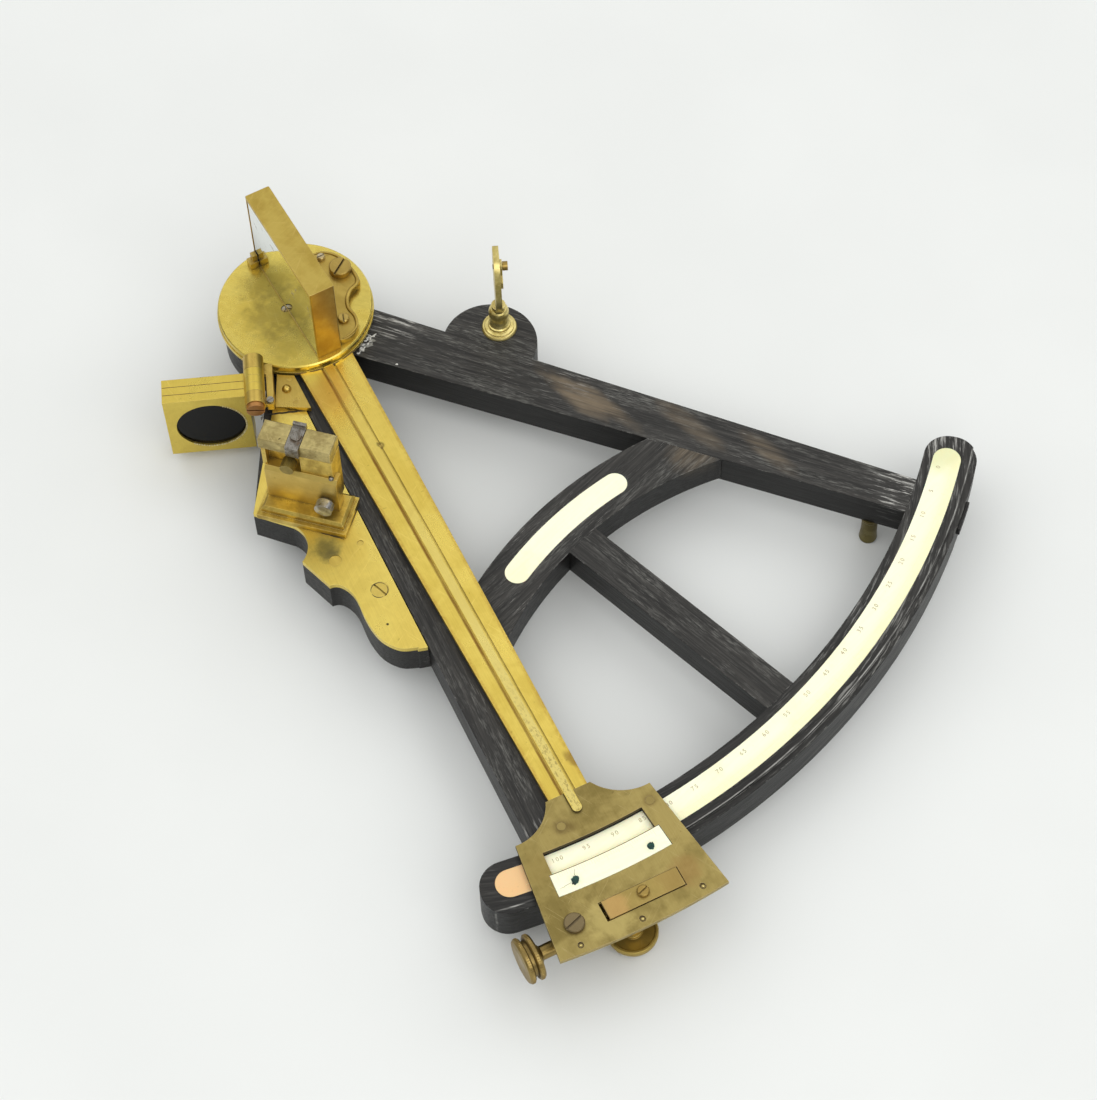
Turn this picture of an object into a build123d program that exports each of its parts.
from build123d import *
import math
import os

# ---------------------------------------------------------------------------
# Marine octant lying flat on its three feet.
# Frame: origin on the index-arm pivot axis, at the flat end of the foot under
# the apex (the rest plane). +Z up, -Y along the symmetry axis from the apex
# to the limb, +X towards the zero end of the arc. Angles are in degrees about
# the pivot, from -Y towards +X. All sizes in millimetres.
# ---------------------------------------------------------------------------

# levels
TOP_Z = 27.0                    # top face of limb, legs and braces
LIMB_Z = TOP_Z - 16.0           # undersides of limb, legs and braces
LEG_Z = TOP_Z - 13.0
BRACE_Z = TOP_Z - 12.0
BACK_Z = LEG_Z - 2.0            # underside of the back plate
PLATE_Z = 28.2                  # top of the horizon plate
PLATE_THICK = 2.0
ARM_Z, ARM_TOP_Z = 29.0, 31.0   # arm bar
RIB_TOP_Z = 32.0
SKIRT_Z, DISC_Z = 29.6, 34.0    # lower edge and top of the index disc
CUT_Z = 60.0                    # height of through cuts, which start at Z = 0

RUN = 0.05                      # radial running clearance
INLAY = 1.5                     # inlay thickness

# placements about the pivot
ARM_ANGLE = -20.15
FIXED = Rot(0, 0, 0)
ARM = Rot(0, 0, ARM_ANGLE)      # the arm is drawn along -Y
CASE = ARM * Rot(0, 0, 2.7)     # index mirror, slightly off the arm's centre line
HORIZON = Rot(0, 0, 27.5)       # horizon mirror
SHADES = Rot(0, 0, -41.07)      # shades, drawn along -Y
UPRIGHT = Rot(0, 0, 90) * Rot(90, 0, 0)   # sketch (a, b) becomes (y, z), thickness along X

os.makedirs("parts", exist_ok=True)


# ---------------------------------------------------------------- helpers ---
def polar(radius, angle):
    turn = math.radians(angle)
    return (radius * math.sin(turn), -radius * math.cos(turn))


def mirrored(points):
    """The points with their first coordinate negated, in reverse order."""
    return [(-a, b) for a, b in reversed(points)]


def rod(radius, bottom, top, x=0.0, y=0.0):
    return Pos(x, y, bottom) * Cylinder(
        radius, top - bottom, align=(Align.CENTER, Align.CENTER, Align.MIN))


def through(radius, x=0.0, y=0.0):
    """Cutter for a vertical through hole."""
    return rod(radius, 0, CUT_Z, x, y)


def rod_x(radius, length, x, y, z):
    """Rod along X, centred on the point."""
    return Pos(x, y, z) * Rot(0, 90, 0) * Cylinder(radius, length)


def rod_y(radius, length, x, y, z):
    """Rod along Y, centred on the point."""
    return Pos(x, y, z) * Rot(90, 0, 0) * Cylinder(radius, length)


def box(x0, x1, y0, y1, z0, z1):
    return Pos((x0 + x1) / 2, (y0 + y1) / 2, (z0 + z1) / 2) * Box(x1 - x0, y1 - y0, z1 - z0)


def outline(points):
    """Straight edges round a closed outline."""
    return [Line(a, b) for a, b in zip(points, points[1:] + points[:1])]


def extruded(edges, bottom, top):
    face = Face(Wire(edges))
    return extrude(Pos(0, 0, bottom) * face, amount=top - bottom, dir=(0, 0, 1))


def prism(points, bottom, top):
    return extruded(outline(points), bottom, top)


def side_prism(points, x0, x1):
    """Prism along X from an outline given as (y, z)."""
    return UPRIGHT * prism(points, x0, x1)


def turned(profile):
    """Revolve a closed outline of (radius, z) points about Z."""
    return revolve(Face(Wire(outline([(r, 0, z) for r, z in profile]))), Axis.Z, 360)


def sector(inner, outer, start, end, bottom, top):
    middle = (start + end) / 2
    return extruded([
        ThreePointArc(polar(outer, start), polar(outer, middle), polar(outer, end)),
        Line(polar(outer, end), polar(inner, end)),
        ThreePointArc(polar(inner, end), polar(inner, middle), polar(inner, start)),
        Line(polar(inner, start), polar(outer, start))], bottom, top)


def rounded_band(inner, outer, half_angle, bottom, top, centre_y=0.0, side=1):
    """Arc band with semicircular ends; side=-1 draws it on the +Y side of its centre."""
    middle, end_radius = (inner + outer) / 2, (outer - inner) / 2
    end_angle = math.degrees(end_radius / middle)
    half = half_angle - end_angle

    def at(radius, angle):
        x, y = polar(radius, angle)
        return (x, centre_y + side * y)

    return extruded([
        ThreePointArc(at(outer, -half), at(outer, 0), at(outer, half)),
        ThreePointArc(at(outer, half), at(middle, half + end_angle), at(inner, half)),
        ThreePointArc(at(inner, half), at(inner, 0), at(inner, -half)),
        ThreePointArc(at(inner, -half), at(middle, -half - end_angle), at(outer, -half))],
        bottom, top)


def slot(x, y, z, angle, width, depth, length):
    """Cutter for a screwdriver slot in a face at height z."""
    return Pos(x, y, z) * Rot(0, 0, angle) * Box(length, width, 2 * depth)


def cheese_screw(x, y, seat, head_height, head_radius, shank_radius, tip,
                 slot_angle, slot_width, slot_depth):
    """Slotted cheese-head screw, head from seat up, shank down to tip."""
    screw = rod(head_radius, seat, seat + head_height, x, y)
    screw = chamfer(screw.edges().filter_by(GeomType.CIRCLE).sort_by(Axis.Z)[-1],
                    min(0.35, head_height * 0.3))
    screw = screw + rod(shank_radius, tip, seat + 0.01, x, y)
    return screw - slot(x, y, seat + head_height, slot_angle, slot_width, slot_depth,
                        head_radius * 3)


def save(placement, **pieces):
    """Place each piece, a shape or a list of shapes, and write it under its name."""
    for name, shapes in pieces.items():
        if not isinstance(shapes, list):
            shapes = [shapes]
        solids = [placement * solid for shape in shapes for solid in shape.solids()]
        piece = solids[0] if len(solids) == 1 else Compound(children=solids)
        export_step(piece, "parts/" + name + ".step")


# ------------------------------------------------------- limb and scale ---
LIMB_IN, LIMB_OUT = 236.0, 255.0
LIMB_HALF_ANGLE = 29.95
SCALE_IN, SCALE_OUT = 239.4, 249.5      # ivory scale
SCALE_HALF_ANGLE = 28.7

limb = sector(LIMB_IN, LIMB_OUT, -LIMB_HALF_ANGLE, LIMB_HALF_ANGLE, LIMB_Z, TOP_Z)
limb = fillet(limb.edges().filter_by(Axis.Z), 9.0)
# shallow ledge along the outer top edge, running out at the zero end
limb = limb - sector(LIMB_OUT - 2.3, LIMB_OUT + 1, -24.0, LIMB_HALF_ANGLE + 1,
                     TOP_Z - 1.3, TOP_Z + 1)
limb = limb - rounded_band(SCALE_IN, SCALE_OUT, SCALE_HALF_ANGLE, TOP_Z - INLAY, TOP_Z + 1)
arc_scale = rounded_band(SCALE_IN + 0.05, SCALE_OUT - 0.05, SCALE_HALF_ANGLE - 0.01,
                         TOP_Z - INLAY, TOP_Z)
# small patch on the limb's outer edge near the zero end
limb_patch = sector(LIMB_OUT + 0.02, LIMB_OUT + 1.2, 21.6, 24.3, TOP_Z - 5.5, TOP_Z - 1.9)

# ------------------------------------------------------------------- legs ---
APEX_RADIUS = 27.4
LEG_START_Y, LEG_END_Y = -6.0, -232.0
CROTCH_Y = -24.3                # the inner leg edges start here
SIGHT_BOSS = (39.6, -61.2)


def leg_outer(y):
    return 13.8 + 0.3982 * -y


def leg_inner(y):
    return -10.63 + 0.4396 * -y


def leg_bar(side):
    corners = [(leg_outer(LEG_START_Y), LEG_START_Y), (leg_outer(LEG_END_Y), LEG_END_Y),
               (leg_inner(LEG_END_Y), LEG_END_Y), (leg_inner(CROTCH_Y), CROTCH_Y),
               (leg_inner(CROTCH_Y), LEG_START_Y)]
    return prism([(side * x, y) for x, y in corners], LEG_Z, TOP_Z)


inside_limb = through(LIMB_IN - 0.02)
apex_clearance = through(APEX_RADIUS + 0.02)
left_leg = (leg_bar(-1) & inside_limb) + rod(APEX_RADIUS, LEG_Z, TOP_Z)
right_leg = leg_bar(1) & inside_limb
right_leg = right_leg + rod(17.4, LEG_Z, TOP_Z, *SIGHT_BOSS)
right_leg = right_leg - apex_clearance

# ----------------------------------------------------------------- braces ---
ARCH_Y = -277.6                         # centre of the curved brace
ARCH_IN, ARCH_OUT = 133.4, 153.0
NAME_INSET = 5.3                        # from the brace edges to the nameplate pocket
RADIAL_WIDTH = 13.4


def arch_end(radius, side):
    return (side * radius * 0.6, ARCH_Y + radius * 0.8)


# arch bulging towards the apex, its ends trimmed against both legs
arch = extruded([
    ThreePointArc(arch_end(ARCH_OUT, -1), (0, ARCH_Y + ARCH_OUT), arch_end(ARCH_OUT, 1)),
    Line(arch_end(ARCH_OUT, 1), arch_end(ARCH_IN, 1)),
    ThreePointArc(arch_end(ARCH_IN, 1), (0, ARCH_Y + ARCH_IN), arch_end(ARCH_IN, -1)),
    Line(arch_end(ARCH_IN, -1), arch_end(ARCH_OUT, -1))], BRACE_Z, TOP_Z)
between_x = leg_inner(-230) - 0.03
curved_brace = arch & prism([(0, -24.25), (between_x, -230), (-between_x, -230)], 0, CUT_Z)
curved_brace = curved_brace - rounded_band(
    ARCH_IN + NAME_INSET, ARCH_OUT - NAME_INSET, 11.9, TOP_Z - INLAY, TOP_Z + 1, ARCH_Y, -1)
nameplate = rounded_band(
    ARCH_IN + NAME_INSET + 0.05, ARCH_OUT - NAME_INSET - 0.05, 11.88,
    TOP_Z - INLAY, TOP_Z, ARCH_Y, -1)

radial_brace = box(-RADIAL_WIDTH / 2, RADIAL_WIDTH / 2, -240, -140, BRACE_Z, TOP_Z) & inside_limb
radial_brace = radial_brace - (Pos(0, ARCH_Y, 0) * Cylinder(ARCH_OUT + 5, 200)
                               - Pos(0, ARCH_Y, 0) * Cylinder(ARCH_IN - 0.02, 200))

# --------------------------------------------------- lug and horizon plate ---
LUG_END_Y = -135.2
LUG_CORNERS = [(-71.3, -51.7), (-65.3, -65.7), (-73.5, -78.8), (-73.9, -92.9)]
LUG_CURVE = [LUG_CORNERS[3], (-70.75, -97.0), (-71.35, -103.6), (-74.0, -109.6),
             (-76.35, -116.6), (-76.85, -122.4), (-75.85, -126.7), (-73.2, -130.6),
             (-70.4, -133.05)]          # x, y; runs on to the leg edge
# x, y, head radius, slotted
PLATE_SCREWS = [(-63.1, -106.8, 3.2, True), (-54.3, -88.2, 1.1, False),
                (-65.4, -87.0, 2.3, False)]


def lug_edges(edge_shift, apex_corner):
    """Contour shared by lug and plate, its straight side edge_shift from the leg edge."""
    far_end = (-leg_outer(LUG_END_Y) + edge_shift, LUG_END_Y)
    near_end = (-leg_outer(-24.0) + edge_shift, -24.0)
    corner_a, corner_b, corner_c, corner_d = LUG_CORNERS
    return [Line(apex_corner, corner_a),
            Line(corner_a, corner_b),
            ThreePointArc(corner_b, (-66.4, -73.9), corner_c),
            Line(corner_c, corner_d),
            Spline(LUG_CURVE + [far_end], tangents=[(0.95, -0.3), (0.82, -0.57)]),
            Line(far_end, near_end),
            Line(near_end, apex_corner)]


lug = extruded(lug_edges(-0.02, (-25.5, -11.0)), LEG_Z, PLATE_Z - PLATE_THICK)
lug = lug - apex_clearance
horizon_plate = extruded(lug_edges(-0.6, (-23.6, -15.4)), PLATE_Z - PLATE_THICK, PLATE_Z)
horizon_plate = horizon_plate - through(APEX_RADIUS + 0.3)

plate_screws = []
for x, y, head_radius, slotted in PLATE_SCREWS:
    shank = min(1.5, head_radius)
    horizon_plate = (horizon_plate - rod(head_radius + 0.02, PLATE_Z - 1.3, PLATE_Z + 1, x, y)
                     - rod(shank, PLATE_Z - 3, PLATE_Z, x, y))
    lug = lug - rod(shank, PLATE_Z - 9.02, PLATE_Z, x, y)
    head_top = PLATE_Z - (0.0 if slotted else 0.25)
    screw = (rod(head_radius, PLATE_Z - 1.3, head_top, x, y)
             + rod(shank - 0.02, PLATE_Z - 9, PLATE_Z - 1.29, x, y))
    if slotted:
        screw = screw - slot(x, y, PLATE_Z, 90, 0.7, 0.6, 12)
    plate_screws.append(screw)

# ------------------------------------------------------------------ pivot ---
AXLE_RADIUS = 5.0
BUSH_RADIUS = 8.0
AXLE_Z = LEG_Z - 2.2            # bottom of the axle's full radius
WASHER_Z = AXLE_Z - 1.0

left_leg = left_leg - through(BUSH_RADIUS)
pivot_bush = rod(BUSH_RADIUS - 0.02, LEG_Z, TOP_Z + 0.01) + rod(13.0, TOP_Z, ARM_Z - 0.3)
pivot_bush = pivot_bush - through(AXLE_RADIUS + RUN)
back_plate = rod(18.0, BACK_Z, LEG_Z) - through(AXLE_RADIUS + 0.4)
back_screws = []
for i in range(3):
    x, y = polar(13.0, 90 + 120 * i)
    back_plate = back_plate - through(1.3, x, y)
    left_leg = left_leg - rod(1.3, 0, LEG_Z + 7, x, y)
    screw = (rod(2.6, BACK_Z - 1.2, BACK_Z, x, y)
             + rod(1.28, BACK_Z - 0.01, LEG_Z + 6.9, x, y))
    back_screws.append(screw - slot(x, y, BACK_Z - 1.2, 40 * i, 0.6, 0.5, 8))

centre_axle = (rod(AXLE_RADIUS, AXLE_Z, ARM_Z) + rod(2.98, ARM_Z - 0.01, ARM_TOP_Z - 0.02)
               + rod(1.98, ARM_Z, DISC_Z - 0.02) + rod(2.5, 6.8, AXLE_Z + 0.01))
axle_washer = rod(7.0, WASHER_Z, AXLE_Z) - through(2.52)
axle_nut = extrude(Pos(0, 0, WASHER_Z - 3.0) * RegularPolygon(5.2, 6), amount=3.0, dir=(0, 0, 1))
axle_nut = axle_nut - through(2.52)

# ------------------------------------------------------------------- feet ---
# Two turned feet under the limb ends, with spigots into the wood; the third is
# a turned cap on the back plate that also covers the axle nut.
LIMB_FEET = [(83.5, -207.5), (-83.5, -207.5)]
SPIGOT = 1.4
LIMB_FOOT_PROFILE = [           # radius, z
    (0, 0), (3.1, 0), (3.3, 0.8), (3.15, 2.2), (2.95, 4.5), (2.9, 9.0), (3.0, 12.0),
    (3.5, LEG_Z - 0.9), (3.5, LEG_Z), (SPIGOT, LEG_Z), (SPIGOT, LEG_Z + 6), (0, LEG_Z + 6)]
APEX_FOOT_PROFILE = [           # radius, z
    (0, 0), (3.1, 0), (3.4, 0.8), (3.2, 2.0), (3.6, 3.4), (6.2, 4.9), (9.2, 5.8),
    (9.8, 6.8), (9.8, BACK_Z), (7.6, BACK_Z), (7.6, 6.3), (0, 6.3)]

feet = [turned(APEX_FOOT_PROFILE)]
for x, y in LIMB_FEET:
    feet.append(Pos(x, y, 0) * turned(LIMB_FOOT_PROFILE))
    hole = rod(SPIGOT + 0.02, 0, LEG_Z + 6.1, x, y)
    left_leg = left_leg - hole
    right_leg = right_leg - hole

# ------------------------------------------------------------------ sight ---
SIGHT_X, SIGHT_Y = 47.0, -58.9
SIGHT = Pos(SIGHT_X, SIGHT_Y, 0) * Rot(0, 0, -42.0)   # local X is the vane's normal
STEM_HOLE = 1.9
SOCKET_PROFILE = [              # radius, z
    (STEM_HOLE, 27), (6.5, 27), (6.5, 27.5), (6.1, 28.1), (5.5, 28.2), (5.4, 28.7),
    (4.7, 29.0), (4.2, 29.1), (4.1, 29.9), (3.6, 30.2), (3.1, 31.2), (2.8, 32.6),
    (2.8, 34.2), (3.3, 35.0), (3.7, 35.4), (3.7, 37.4), (3.4, 38.3), (2.9, 38.9),
    (STEM_HOLE, 39.0)]
VANE_HALF = 1.1                 # half thickness
VANE_FOOT_Z = 39.1
VANE_EDGE = [                   # y, z of the +Y edge, foot to tip
    (3.0, VANE_FOOT_Z), (3.7, 42.0), (6.6, 45.6), (8.7, 50.0), (9.3, 55.2), (8.6, 60.6),
    (6.7, 65.6), (3.9, 69.0), (0.0, 70.2)]
SCREW_Z, SCREW_HOLE = 63.7, 0.92
VANE_HOLES = [(-2.9, 57.2, 0.6), (2.9, 58.4, 0.6), (0.0, SCREW_Z, SCREW_HOLE)]   # y, z, radius
SHUTTER_EDGE = [                # y, z of the +Y edge, top to bottom
    (1.6, SCREW_Z + 2.0), (2.2, SCREW_Z + 0.6), (2.4, SCREW_Z - 2.4), (4.9, 60.0),
    (5.2, 57.4), (3.8, 55.2)]

sight_socket = Pos(SIGHT_X, SIGHT_Y, 0) * turned(SOCKET_PROFILE)
# stub of the socket in the leg, as a plain tube
sight_socket = sight_socket + (rod(3.0, TOP_Z - 7, TOP_Z + 0.01, SIGHT_X, SIGHT_Y)
                               - rod(STEM_HOLE, TOP_Z - 8, TOP_Z + 1, SIGHT_X, SIGHT_Y))
right_leg = right_leg - rod(3.02, TOP_Z - 7.05, TOP_Z + 1, SIGHT_X, SIGHT_Y)

# vane: thin pierced plate on a round stem
blade = UPRIGHT * extruded([
    Line((-3.0, VANE_FOOT_Z), (3.0, VANE_FOOT_Z)),
    Spline(VANE_EDGE, tangents=[(0.1, 1), (-1, 0)]),
    Spline(mirrored(VANE_EDGE), tangents=[(-1, 0), (0.1, -1)])], -VANE_HALF, VANE_HALF)
vane = rod(1.85, 24.0, 40.5) + blade + rod(2.6, VANE_FOOT_Z, 41.0)
for y, z, radius in VANE_HOLES:
    vane = vane - rod_x(radius, 10, 0, y, z)

shutter = Pos(VANE_HALF + 0.15, 0, 0) * side_prism(SHUTTER_EDGE + mirrored(SHUTTER_EDGE), 0, 0.7)
shutter = shutter - rod_x(SCREW_HOLE, 20, 0, 0, SCREW_Z)
shutter_screw = Rot(0, 90, 0) * (rod(0.87, -1.4, VANE_HALF + 1.0)
                                 + rod(1.7, VANE_HALF + 0.95, VANE_HALF + 2.9))
shutter_screw = shutter_screw - Pos(VANE_HALF + 2.9, 0, 0) * Box(1.0, 6, 0.5)
shutter_screw = Pos(0, 0, SCREW_Z) * shutter_screw

# -------------------------------------------------------------- index arm ---
BEND_Y = -110.0                 # beyond this the bar slopes down to the vernier plate
NECK_Y = -222.3                 # end of the bar
VERNIER_Z, VERNIER_TOP_Z = 27.6, 29.3   # vernier plate
RIB_HALF = 1.7
RIB_START_Y, RIB_END_Y = -29.3, -229.0
BAR_EDGE = [(10.4, -5.0), (10.4, -27.0), (7.2, NECK_Y)]   # x, y of the +X edge

index_arm = prism(BAR_EDGE + mirrored(BAR_EDGE), 26, 34) & side_prism([
    (-4, ARM_Z), (BEND_Y, ARM_Z), (NECK_Y - 1, VERNIER_Z - 0.1), (NECK_Y - 1, VERNIER_TOP_Z),
    (NECK_Y, VERNIER_TOP_Z), (BEND_Y, ARM_TOP_Z), (-4, ARM_TOP_Z)], -15, 15)
index_arm = index_arm + rod(20.0, ARM_Z, ARM_TOP_Z)
rib = extruded([
    Line((RIB_HALF, RIB_START_Y), (RIB_HALF, RIB_END_Y)),
    ThreePointArc((RIB_HALF, RIB_END_Y), (0, RIB_END_Y - RIB_HALF), (-RIB_HALF, RIB_END_Y)),
    Line((-RIB_HALF, RIB_END_Y), (-RIB_HALF, RIB_START_Y)),
    Line((-RIB_HALF, RIB_START_Y), (RIB_HALF, RIB_START_Y))], 26, 34)
rib = rib & side_prism([
    (-29, ARM_TOP_Z - 0.2), (BEND_Y, ARM_TOP_Z - 0.2), (NECK_Y + 0.5, VERNIER_TOP_Z - 0.2),
    (NECK_Y, VERNIER_TOP_Z), (-232, VERNIER_TOP_Z), (-232, VERNIER_TOP_Z + 1),
    (NECK_Y, VERNIER_TOP_Z + 1), (BEND_Y, RIB_TOP_Z), (-29, RIB_TOP_Z)], -5, 5)
index_arm = index_arm + rib
# shallow grooves beside the rib
for x0, x1 in ((-2.75, -2.05), (2.05, 2.75)):
    index_arm = index_arm - side_prism([
        (-29, ARM_TOP_Z - 0.45), (BEND_Y, ARM_TOP_Z - 0.45),
        (NECK_Y - 1, VERNIER_TOP_Z - 0.45), (NECK_Y - 1, 36), (-29, 36)], x0, x1)
index_arm = index_arm - through(3.0)

# ------------------------------------------------------------- index disc ---
DISC_RADIUS = 28.5
DISC_SCREW = (-3.79, -0.22)     # small sunk screw in front of the mirror

index_disc = rod(DISC_RADIUS, SKIRT_Z, DISC_Z) + rod(DISC_RADIUS + 0.35, SKIRT_Z, 31.1)
index_disc = chamfer(
    index_disc.edges().filter_by(GeomType.CIRCLE).sort_by(Axis.Z)[-1], 0.5)
index_disc = index_disc - (rod(DISC_RADIUS + 2, 31.1, 31.35)
                           - rod(DISC_RADIUS - 0.6, 31.0, 31.5))
index_disc = index_disc - through(2.0)
index_disc = (index_disc - rod(1.7, DISC_Z - 1.2, DISC_Z + 1, *DISC_SCREW)
              - rod(0.72, DISC_Z - 2.6, DISC_Z, *DISC_SCREW))
# the arm's hub and bar are let into the underside of the disc
index_disc = (index_disc - rod(20.02, 0, ARM_TOP_Z)
              - box(-10.42, 10.42, -40, 0, 0, ARM_TOP_Z))
disc_screw = (rod(1.65, DISC_Z - 1.2, DISC_Z - 0.35, *DISC_SCREW)
              + rod(0.7, DISC_Z - 2.5, DISC_Z - 1.19, *DISC_SCREW)
              - slot(*DISC_SCREW, DISC_Z - 0.35, 50, 0.4, 0.3, 6))

# ----------------------------------------------------------- index mirror ---
# Case open towards -X, glass, spring, clip, and a bracket on the +X side.
CASE_X0, CASE_X1 = -3.6, 6.0
CASE_Y0, CASE_Y1 = -26.2, 25.6
CASE_TOP_Z = 71.5
BRACKET_X = CASE_X1 + 0.02
BRACKET_Z = DISC_Z + 2.6        # top of the bracket's foot
# x, y on the foot's S-shaped free edge; every second point ends an arc
BRACKET_EDGE = [(18.5, 15.0), (24.6, 5.5), (25.0, -4.0), (20.5, -5.5), (17.0, -8.5),
                (15.0, -13.5), (16.2, -19.0), (13.5, -23.5), (BRACKET_X, -24.5)]
# x, y, head height, head radius, shank radius, slot angle, slot width, slot depth
BRACKET_SCREWS = [(20.9, 3.7, 2.8, 4.1, 1.6, 35, 0.8, 0.9),
                  (17.2, 12.2, 1.6, 1.5, 0.9, 0, 0.5, 0.6),
                  (11.7, -16.8, 1.4, 2.1, 0.9, 70, 0.5, 0.6)]

mirror_case = box(CASE_X0, CASE_X1, CASE_Y0, CASE_Y1, DISC_Z, CASE_TOP_Z)
mirror_case = fillet(mirror_case.edges().filter_by(Axis.Z), 0.5)
mirror_case = mirror_case - box(CASE_X0 - 1, 1.2, CASE_Y0 + 0.8, CASE_Y1 - 0.8,
                                DISC_Z + 0.4, CASE_TOP_Z - 1.5)
mirror_glass = box(-3.4, -0.2, CASE_Y0 + 0.85, CASE_Y1 - 0.85,
                   DISC_Z + 0.45, CASE_TOP_Z - 1.55)
mirror_spring = box(-0.15, 1.15, -12.0, 12.0, 44.0, 60.0)
mirror_spring = mirror_spring - box(-0.2, 0.75, -10.0, 10.0, 43.0, 61.0)
mirror_clip = (box(-7.0, CASE_X0 - 0.02, 22.0, 25.4, DISC_Z, DISC_Z + 3.2)
               + box(-5.6, CASE_X0 - 0.02, 22.6, 24.8, DISC_Z + 3.0, DISC_Z + 6.5))

foot_edges = [Line((BRACKET_X, 15.5), BRACKET_EDGE[0])]
foot_edges += [ThreePointArc(*BRACKET_EDGE[i:i + 3]) for i in (0, 2, 4, 6)]
foot_edges.append(Line(BRACKET_EDGE[-1], (BRACKET_X, 15.5)))
web = box(BRACKET_X, CASE_X1 + 2.4, -17.0, 13.0, DISC_Z + 2.5, DISC_Z + 22.0)
web = fillet(web.edges().filter_by(Axis.X), 6.0)
bracket = extruded(foot_edges, DISC_Z, BRACKET_Z) + web
bracket_screws = [ARM * disc_screw]
for x, y, head_height, head_radius, shank, *slot_sizes in BRACKET_SCREWS:
    bracket = bracket - rod(shank + 0.02, DISC_Z - 1, DISC_Z + 4, x, y)
    # the disc is drawn in the arm's frame, so its hole takes only the mirror's own turn
    index_disc = index_disc - Rot(0, 0, 2.7) * rod(shank + 0.02, DISC_Z - 2.2, DISC_Z + 1, x, y)
    bracket_screws.append(CASE * cheese_screw(
        x, y, BRACKET_Z, head_height, head_radius, shank, DISC_Z - 2.1, *slot_sizes))

# ---------------------------------------------------------- vernier plate ---
VERNIER_OUT = 277.2             # outer radius of the plate
NECK_HALF = 8.3                 # half width of the plate where it meets the bar
SLOT_IN, SLOT_OUT = 262.7, 270.1        # clamp slot, distances along -Y
SCALE_EDGE = 247.5              # inner radius of the vernier scale
TANGENT_Y, TANGENT_Z = -266.0, 19.0     # axis of the tangent screw
BEARING_SCREW = (-19.6, -265.8)
VERNIER_PINS = [(-12.3, -252.0), (15.4, -252.3)]
# x, y, hole radius, depth of the head below the plate's top
FLUSH_SCREWS = [(-7.6, -232.6, 1.5, 0.05), (22.9, -237.3, 1.5, 0.05),
                (-21.1, -273.2, 0.95, 0.2), (0.9, -274.0, 0.95, 0.2),
                (23.7, -272.6, 0.95, 0.2)]

right_corner, left_corner = polar(VERNIER_OUT, 6.65), polar(VERNIER_OUT, -6.15)
vernier_plate = extruded([
    Line((-NECK_HALF, NECK_Y), (NECK_HALF, NECK_Y)),
    ThreePointArc((NECK_HALF, NECK_Y), (16.4, -229.9), (25.8, -231.6)),
    Line((25.8, -231.6), right_corner),
    ThreePointArc(right_corner, polar(VERNIER_OUT, 0.25), left_corner),
    Line(left_corner, (-24.3, -232.2)),
    ThreePointArc((-24.3, -232.2), (-15.3, -230.3), (-NECK_HALF, NECK_Y))],
    VERNIER_Z, VERNIER_TOP_Z)
# window, a little wider where the vernier scale lies
vernier_plate = (vernier_plate - sector(239.2, SCALE_EDGE + 0.01, -4.2, 4.6, 0, CUT_Z)
                 - sector(SCALE_EDGE, 255.9, -4.45, 4.95, 0, CUT_Z))
vernier_plate = vernier_plate - box(-9.6, 19.4, -SLOT_OUT, -SLOT_IN, 0, CUT_Z)
vernier_scale = sector(SCALE_EDGE, 255.85, -4.42, 4.92, VERNIER_Z + 0.05, VERNIER_TOP_Z - 0.15)
vernier_pins = []
for x, y in VERNIER_PINS:
    vernier_scale = vernier_scale - through(1.22, x, y)
    vernier_pins.append(rod(1.2, VERNIER_Z + 0.05, VERNIER_TOP_Z - 0.1, x, y))

vernier_plate = vernier_plate - through(1.7, *BEARING_SCREW)
vernier_screws = []
for x, y, radius, depth in FLUSH_SCREWS:
    vernier_plate = vernier_plate - through(radius, x, y)
    vernier_screws.append(rod(radius - 0.02, VERNIER_Z + 0.1, VERNIER_TOP_Z - depth, x, y))
vernier_screws.append(cheese_screw(*BEARING_SCREW, VERNIER_TOP_Z, 1.5, 3.5, 1.68,
                                   TANGENT_Z + 3.5, 18, 0.8, 0.7))

# ---------------------------------------------------------- tangent screw ---
BEARING_X = BEARING_SCREW[0]
JOURNAL, THREAD = 1.8, 1.6      # radii
# radius, x: double-flange knob with a groove, collar, journal, thread
TANGENT_PROFILE = [
    (0, -39.6), (5.5, -39.6), (7.4, -39.3), (7.9, -38.7), (7.9, -37.6), (7.4, -37.2),
    (6.3, -37.0), (6.3, -35.9), (7.4, -35.7), (7.9, -35.3), (7.9, -34.2), (7.4, -33.6),
    (4.2, -33.2), (3.4, -32.6), (2.5, -32.0), (2.5, -24.15), (JOURNAL, -24.15),
    (JOURNAL, -15.2), (THREAD, -14.6), (THREAD, -0.4), (0, -0.4)]

# bearing block under the plate
bearing = box(BEARING_X - 4.4, BEARING_X + 4.0, TANGENT_Y - 4.6, TANGENT_Y + 4.6,
              TANGENT_Z - 5.0, VERNIER_Z)
bearing = fillet(bearing.edges().filter_by(Axis.X).sort_by(Axis.Z)[:2], 3.5)
bearing = bearing - rod_x(JOURNAL + RUN, 30, BEARING_X, TANGENT_Y, TANGENT_Z)
bearing = bearing - rod(1.7, TANGENT_Z + 3.4, VERNIER_Z + 1, *BEARING_SCREW)
tangent_face = Face(Wire(outline([(x, r, 0) for r, x in TANGENT_PROFILE])))
tangent_screw = Pos(0, TANGENT_Y, TANGENT_Z) * revolve(tangent_face, Axis.X, 360)

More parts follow.
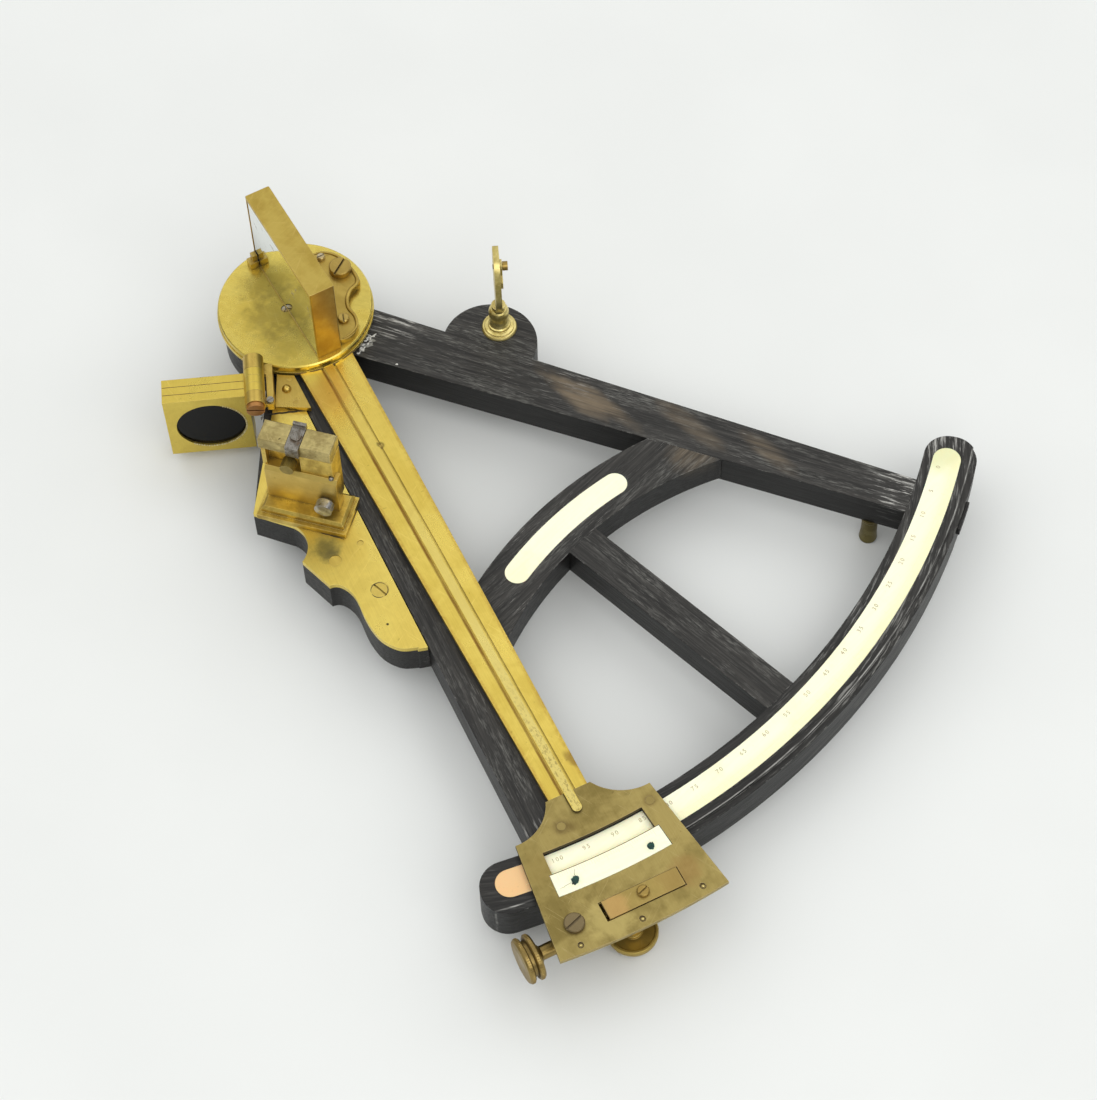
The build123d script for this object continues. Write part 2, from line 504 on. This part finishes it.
# ------------------------------------------------------------------ clamp ---
# Strip above the slot, block through it, jaw under the limb, thumb screw.
CLAMP_X, CLAMP_Y = 1.3, -267.0
CLAMP_SHANK = 2.0
STRIP_SCREW = (5.4, -266.0)
STRIP_Z = VERNIER_TOP_Z - 0.9
JAW_Z, JAW_TOP_Z = 8.2, LIMB_Z - 0.3
CLAMP_SCREW_PROFILE = [         # radius, z
    (0, 2.6), (7.6, 2.6), (8.5, 3.1), (8.7, 3.8), (8.7, 5.2), (8.4, 5.9), (7.7, 6.0),
    (7.3, 5.7), (3.4, 5.7), (3.2, 6.4), (CLAMP_SHANK, 6.8), (CLAMP_SHANK, 15.6), (0, 15.6)]

clamp_strip = box(-8.5, 19.0, -SLOT_OUT + 0.25, -SLOT_IN - 0.25, STRIP_Z, VERNIER_TOP_Z + 0.45)
clamp_strip = clamp_strip - through(1.2, *STRIP_SCREW)
clamp_block = (box(-5.0, 12.0, -268.7, -261.6, 15.4, VERNIER_Z - 0.25)
               + box(-4.6, 11.6, -SLOT_OUT + 0.3, -SLOT_IN - 0.3, VERNIER_Z - 0.3, STRIP_Z))
clamp_block = (clamp_block
               - Pos(-6, TANGENT_Y, TANGENT_Z) * Rot(0, 90, 0) * rod(THREAD + RUN, 0, 16.0))
clamp_block = clamp_block + rod(3.4, 11.2, 15.5, CLAMP_X, CLAMP_Y)
clamp_block = clamp_block - rod(CLAMP_SHANK + RUN, 5, 15.9, CLAMP_X, CLAMP_Y)
clamp_block = clamp_block - rod(1.2, VERNIER_Z - 4, CUT_Z, *STRIP_SCREW)
strip_screw = cheese_screw(*STRIP_SCREW, VERNIER_TOP_Z + 0.45, 1.2, 2.1, 1.18,
                           VERNIER_Z - 3.9, 18, 0.6, 0.6)
clamp_jaw = box(-6.0, 10.0, -261.5, -244.0, JAW_Z, JAW_TOP_Z)
clamp_jaw = fillet(clamp_jaw.edges().filter_by(Axis.Z), 2.0)
clamp_jaw = (clamp_jaw
             + prism([(-4.0, -260.0), (8.0, -260.0), (CLAMP_X + 3.4, CLAMP_Y),
                      (CLAMP_X - 3.4, CLAMP_Y)], JAW_Z, JAW_TOP_Z)
             + rod(3.4, JAW_Z, JAW_TOP_Z, CLAMP_X, CLAMP_Y))
clamp_jaw = clamp_jaw - through(CLAMP_SHANK + RUN, CLAMP_X, CLAMP_Y)
clamp_screw = Pos(CLAMP_X, CLAMP_Y, 0) * turned(CLAMP_SCREW_PROFILE)

# ----------------------------------------------------------------- shades ---
# Three framed glasses on one hinge pin that lies along the local Y axis.
HINGE_X, HINGE_Z = -16.2, 38.5
SHADE_THICK, SHADE_START = 3.3, 32.3    # start: distance of the first shade along -Y
GLASS_X, GLASS_Z, GLASS_RADIUS = HINGE_X - 17.4, HINGE_Z - 16.6, 12.6
PIN_RADIUS, KNUCKLE_RADIUS = 1.5, 3.7

shade_frames, shade_glasses = [], []
for i in range(3):
    start = SHADE_START + i * (SHADE_THICK + 0.06)
    end = start + SHADE_THICK
    y = -(start + end) / 2
    frame = box(HINGE_X - 33.4, HINGE_X - 2.6, -end, -start, HINGE_Z - 32.6, HINGE_Z)
    frame = frame + box(HINGE_X - 3.0, HINGE_X, -end, -start, HINGE_Z - 3.4, HINGE_Z)
    frame = frame + rod_y(KNUCKLE_RADIUS, SHADE_THICK, HINGE_X, y, HINGE_Z)
    frame = frame - rod_y(PIN_RADIUS + RUN, 20, HINGE_X, y, HINGE_Z)
    frame = (frame - rod_y(GLASS_RADIUS, 10, GLASS_X, y, GLASS_Z)
             - rod_y(GLASS_RADIUS + 1.0, 1.6, GLASS_X, y, GLASS_Z))
    shade_frames.append(frame)
    shade_glasses.append(rod_y(GLASS_RADIUS + 0.95, 1.5, GLASS_X, y, GLASS_Z))

# hinge: leaf with the two outer knuckles, and pin
LEAF_X0, LEAF_X1 = HINGE_X + KNUCKLE_RADIUS + 0.5, -9.6
LEAF_START, LEAF_END = 27.8, 41.2       # distances along -Y, as below
LEAF_TOP_Z = HINGE_Z - 1.8
LEAF_ARM_X, LEAF_ARM_END = LEAF_X0 + 2.2, 45.6   # narrow arm to the outer knuckle
PIN_START, PIN_END = 26.2, 47.3
INNER_END = SHADE_START - 0.08
OUTER_START = SHADE_START + 3 * SHADE_THICK + 0.2
# knuckle start and end, then x, start and end of its link to the leaf
KNUCKLES = [(PIN_START, INNER_END, LEAF_X1, LEAF_START, INNER_END),
            (OUTER_START, PIN_END, LEAF_ARM_X, OUTER_START, LEAF_ARM_END)]
LEAF_SCREW = (LEAF_X0 + 1.1, -44.0)

leaf = box(LEAF_X0, LEAF_X1, -LEAF_END, -LEAF_START, PLATE_Z, LEAF_TOP_Z)
leaf = leaf + box(LEAF_X0, LEAF_ARM_X, -LEAF_ARM_END, -LEAF_END + 0.1,
                  HINGE_Z - 5.2, LEAF_TOP_Z)
for start, end, link_x, link_start, link_end in KNUCKLES:
    knuckle = rod_y(KNUCKLE_RADIUS, end - start, HINGE_X, -(start + end) / 2, HINGE_Z)
    leaf = leaf + knuckle + box(HINGE_X, link_x, -link_end, -link_start,
                                HINGE_Z - 3.4, LEAF_TOP_Z)
leaf = leaf - rod_y(PIN_RADIUS + 0.01, 60, HINGE_X, -36, HINGE_Z)
leaf = (leaf - rod(0.72, HINGE_Z - 4.9, HINGE_Z - 1.7, *LEAF_SCREW)
        - rod(1.32, HINGE_Z - 1.81, HINGE_Z + 1, *LEAF_SCREW))
leaf_screw = Pos(*LEAF_SCREW, LEAF_TOP_Z) * (
    rod(1.3, 0, 0.9) + rod(0.7, -3.0, 0.01) - slot(0, 0, 0.9, 30, 0.5, 0.35, 5))

shade_pin = rod_y(PIN_RADIUS, PIN_END - PIN_START, HINGE_X, -(PIN_START + PIN_END) / 2, HINGE_Z)
shade_pin = (shade_pin + rod_y(3.3, 1.8, HINGE_X, -PIN_END - 0.9, HINGE_Z)
             - Pos(HINGE_X, -PIN_END - 1.8, HINGE_Z) * Rot(0, 8, 0) * Box(9, 1.3, 0.8))

# base plate, drawn in the fixed frame and riveted through plate and lug
BASE_TOP_Z = PLATE_Z + 2.2
SHADE_RIVETS = [(-27.0, -23.1, 1.7), (-23.3, -20.6, 0.95), (-28.6, -29.6, 0.95)]  # x, y, radius

shade_base = prism([(-23.5, -14.5), (-35.2, -25.6), (-26.7, -35.5), (-20.9, -20.6)],
                   PLATE_Z, BASE_TOP_Z)
shade_base = (shade_base - SHADES * box(-40, LEAF_X1 + 0.02, -80, 0, 0, CUT_Z)
              - through(DISC_RADIUS + 0.9))
shade_rivets = []
for x, y, radius in SHADE_RIVETS:
    shank = min(radius, 1.0)
    hole = rod(shank + 0.02, PLATE_Z - 6, PLATE_Z + 5, x, y)
    shade_base = shade_base - hole
    horizon_plate = horizon_plate - hole
    lug = lug - hole
    rivet = rod(shank, PLATE_Z - 5.9, BASE_TOP_Z, x, y)
    if radius > 1.5:            # the large rivet has a domed head
        rivet = rivet + (Pos(x, y, BASE_TOP_Z) * Sphere(radius)
                         & rod(radius + 1, BASE_TOP_Z, PLATE_Z + 6, x, y))
    shade_rivets.append(rivet)

# --------------------------------------------------------- horizon mirror ---
# Local frame: +X is the mirror's normal, -Y runs along the mirror.
PLINTH_TOP_Z = PLATE_Z + 5.2
PANEL_TOP_Z = 51.0
CAP_Z, CAP_TOP_Z = 60.2, 65.6
FRAME_BACK_X = -76.6            # also the panel's front
FRAME_Y0, FRAME_Y1 = -42.2, -16.4
CLIP_Y0, CLIP_Y1 = -30.7, -25.9
CLIP_SCREW = (-75.2, -28.3)
PANEL_SCREW = (-79.8, -41.4)
# screws that point along -X
KNURLED = Pos(-74.62, -26.8, 56.4) * Rot(0, -90, 0)
CAPSTAN = Pos(-77.2, -39.2, 38.6) * Rot(0, -90, 0)

plinth_top = box(-86.9, -73.2, -46.6, -16.3, PLATE_Z + 2.4, PLINTH_TOP_Z)
plinth = (box(-88.6, -72.4, -47.8, -14.9, PLATE_Z, PLATE_Z + 2.4)
          + chamfer(plinth_top.edges().filter_by(GeomType.LINE).group_by(Axis.Z)[-1], 1.0))

panel = box(-81.2, FRAME_BACK_X, -43.6, -17.2, PLINTH_TOP_Z, PANEL_TOP_Z)
panel = chamfer(panel.edges().group_by(Axis.Z)[-1].sort_by(Axis.X)[0], 1.3)
panel = panel - rod(0.5, 48.5, 52, *PANEL_SCREW)
panel = panel - CAPSTAN * rod(1.4 + RUN, -0.25, 29.95)

mirror_frame = box(FRAME_BACK_X, -71.6, FRAME_Y0, FRAME_Y1, PLINTH_TOP_Z, CAP_Z)
mirror_frame = mirror_frame - box(-74.6, -70.0, FRAME_Y0 + 2.0, FRAME_Y1 - 2.0,
                                  PLINTH_TOP_Z + 2.0, 61.0)
# raised back pad on the -Y side of the knurled screw, narrow strip at the other end
mirror_frame = (mirror_frame
                + box(-79.5, FRAME_BACK_X, FRAME_Y0, -30.4, PANEL_TOP_Z, CAP_Z)
                + box(-79.5, FRAME_BACK_X, FRAME_Y1 - 1.6, FRAME_Y1, PANEL_TOP_Z, CAP_Z))
mirror_frame = mirror_frame - rod(1.05, 50.9, 52.1, *PANEL_SCREW)
mirror_frame = mirror_frame - KNURLED * Cylinder(1.3 + RUN, 20)
horizon_glass = box(-74.55, -72.6, FRAME_Y0 + 2.05, FRAME_Y1 - 2.05,
                    PLINTH_TOP_Z + 2.05, CAP_Z - 0.05)

cap = box(-79.4, -70.8, -41.9, -15.6, CAP_Z, CAP_TOP_Z)
cap = chamfer(cap.edges().group_by(Axis.Z)[-1], 0.4)
cap = cap - box(-82.0, -70.0, CLIP_Y0 - 0.2, CLIP_Y1 + 0.2, CAP_TOP_Z - 1.0, CAP_TOP_Z + 1)
cap = cap - rod(1.02, CAP_Z + 1, 70, *CLIP_SCREW)
horizon_clip = (box(-79.9, -70.0, CLIP_Y0, CLIP_Y1, CAP_TOP_Z - 1.0, CAP_TOP_Z + 0.2)
                + box(-71.2, -70.0, CLIP_Y0, CLIP_Y1, CAP_TOP_Z - 1.0, CAP_TOP_Z + 1.6))
horizon_clip = horizon_clip + box(-80.6, -79.42, CLIP_Y0, CLIP_Y1, CAP_Z + 0.4, CAP_TOP_Z + 0.2)
horizon_clip = horizon_clip - rod(1.02, 60, 70, *CLIP_SCREW)

clip_screw = cheese_screw(*CLIP_SCREW, CAP_TOP_Z + 0.2, 0.7, 2.05, 1.0, CAP_Z + 1.1,
                          30, 0.5, 0.4)
# small round-headed screw in the panel's top edge
panel_screw = (rod(0.48, 48.6, PANEL_TOP_Z + 0.01, *PANEL_SCREW)
               + (Pos(*PANEL_SCREW, PANEL_TOP_Z) * Sphere(0.95)
                  & rod(2, PANEL_TOP_Z, 53, *PANEL_SCREW)))
knurled_screw = KNURLED * (rod(1.3, 0.0, 5.0) + rod(2.5, 4.7, 9.0) - rod_y(0.55, 8, 0, 0, 6.8))
capstan_neck = Pos(0, 0, 4.15) * Cone(
    1.9, 3.2, 1.25, align=(Align.CENTER, Align.CENTER, Align.MIN))
capstan_screw = CAPSTAN * (rod(1.4, 0.0, 4.2) + capstan_neck + rod(3.2, 5.35, 8.6)
                           - rod_y(0.6, 10, 0, 0, 7.0))

# ----------------------------------------------------------------- output ---
save(FIXED, left_leg=left_leg, right_leg=right_leg, limb=limb, curved_brace=curved_brace,
     radial_brace=radial_brace, mirror_lug=lug, arc_scale=arc_scale, nameplate=nameplate,
     horizon_plate=horizon_plate, horizon_plate_screws=plate_screws, pivot_bush=pivot_bush,
     back_plate=back_plate, back_plate_screws=back_screws, feet=feet, limb_patch=limb_patch,
     sight_socket=sight_socket, shade_base=shade_base, shade_rivets=shade_rivets,
     bracket_screws=bracket_screws,
     small_steel_screws=[SHADES * leaf_screw, HORIZON * clip_screw, HORIZON * panel_screw])
save(SIGHT, sight_vane=vane, sight_shutter=shutter, shutter_screw=shutter_screw)
save(ARM, index_arm=index_arm, index_disc=index_disc, centre_axle=centre_axle,
     axle_washer=axle_washer, axle_nut=axle_nut, vernier_plate=vernier_plate,
     vernier_scale=vernier_scale, vernier_pins=vernier_pins,
     vernier_plate_screws=vernier_screws, tangent_bearing=bearing,
     tangent_screw=tangent_screw, clamp_strip=clamp_strip, clamp_strip_screw=strip_screw,
     clamp_block=clamp_block, clamp_jaw=clamp_jaw, clamp_screw=clamp_screw)
save(CASE, index_mirror_case=mirror_case, index_mirror_glass=mirror_glass,
     index_mirror_spring=mirror_spring, index_mirror_clip=mirror_clip,
     index_mirror_bracket=bracket)
save(SHADES, shade_leaf=leaf, shade_pin=shade_pin)
for i in range(3):
    save(SHADES, **{f"shade_frame_{i + 1}": shade_frames[i],
                    f"shade_glass_{i + 1}": shade_glasses[i]})
save(HORIZON, horizon_plinth=plinth, horizon_panel=panel, horizon_mirror_frame=mirror_frame,
     horizon_mirror_glass=horizon_glass, horizon_cap=cap, horizon_clip=horizon_clip,
     knurled_screw=knurled_screw, capstan_screw=capstan_screw)
